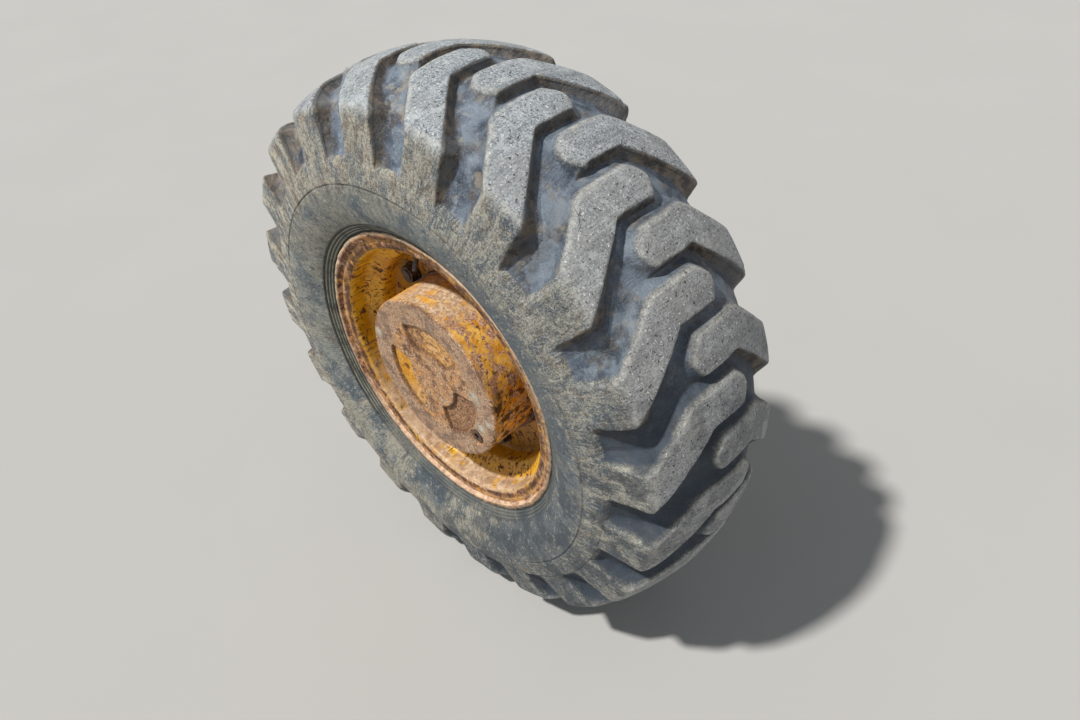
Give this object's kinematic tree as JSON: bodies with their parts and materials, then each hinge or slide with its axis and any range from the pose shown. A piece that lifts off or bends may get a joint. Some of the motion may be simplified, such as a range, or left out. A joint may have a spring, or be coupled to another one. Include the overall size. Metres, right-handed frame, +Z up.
{
  "type": "backhoe loader front wheel with driven hub and swivel housing",
  "caption": "Lugged tyre on a dished steel wheel, bolted to a driven hub that turns on a steering swivel housing.",
  "frame": {"origin": "where the kingpin axis crosses the wheel axis, midway between the kingpin bores", "axes": "+Z up along the kingpin axis, Y along the wheel axis with the outer side towards -Y, vehicle's front towards -X"},
  "size_m": [0.9558, 0.4497, 0.9558],
  "materials": {
    "tyre": "weathered, dusty",
    "wheel_paint": "chipped yellow paint with rust",
    "valve_rubber": "dull",
    "hub_casting": "worn yellow paint over rust",
    "greasy_steel": "greasy, dark",
    "housing_paint": "dirty yellow paint with rust",
    "seal_rubber": "dull",
    "bare_steel": "oily, brown in places"
  },
  "bodies": {
    "knuckle": {"swivel_housing": "housing_paint", "hub_seal": "seal_rubber", "shaft_seal": "seal_rubber", "steering_stop": "greasy_steel"},
    "wheel": {"tyre": "tyre", "wheel_rim": "wheel_paint", "wheel_disc": "wheel_paint", "valve": "valve_rubber", "hub_cover": "hub_casting", "level_plug": "greasy_steel", "hub_body": "hub_casting", "wheel_studs": "greasy_steel", "wheel_nuts": "greasy_steel"},
    "drive_shaft": {"drive_shaft": "bare_steel", "shaft_yoke": "bare_steel", "yoke_ears": "bare_steel"}
  },
  "joints": [
    {"name": "wheel_spin", "type": "hinge", "parent": "knuckle", "child": "wheel", "pos_m": [0, -0.21, 0], "axis": [0, 1, 0], "continuous": true},
    {"name": "shaft_spin", "type": "hinge", "parent": "knuckle", "child": "drive_shaft", "pos_m": [0, -0.1, 0], "axis": [0, 1, 0], "continuous": true}
  ],
  "couplings": [
    {"joint": "shaft_spin", "follows": "wheel_spin", "ratio": 6}
  ]
}
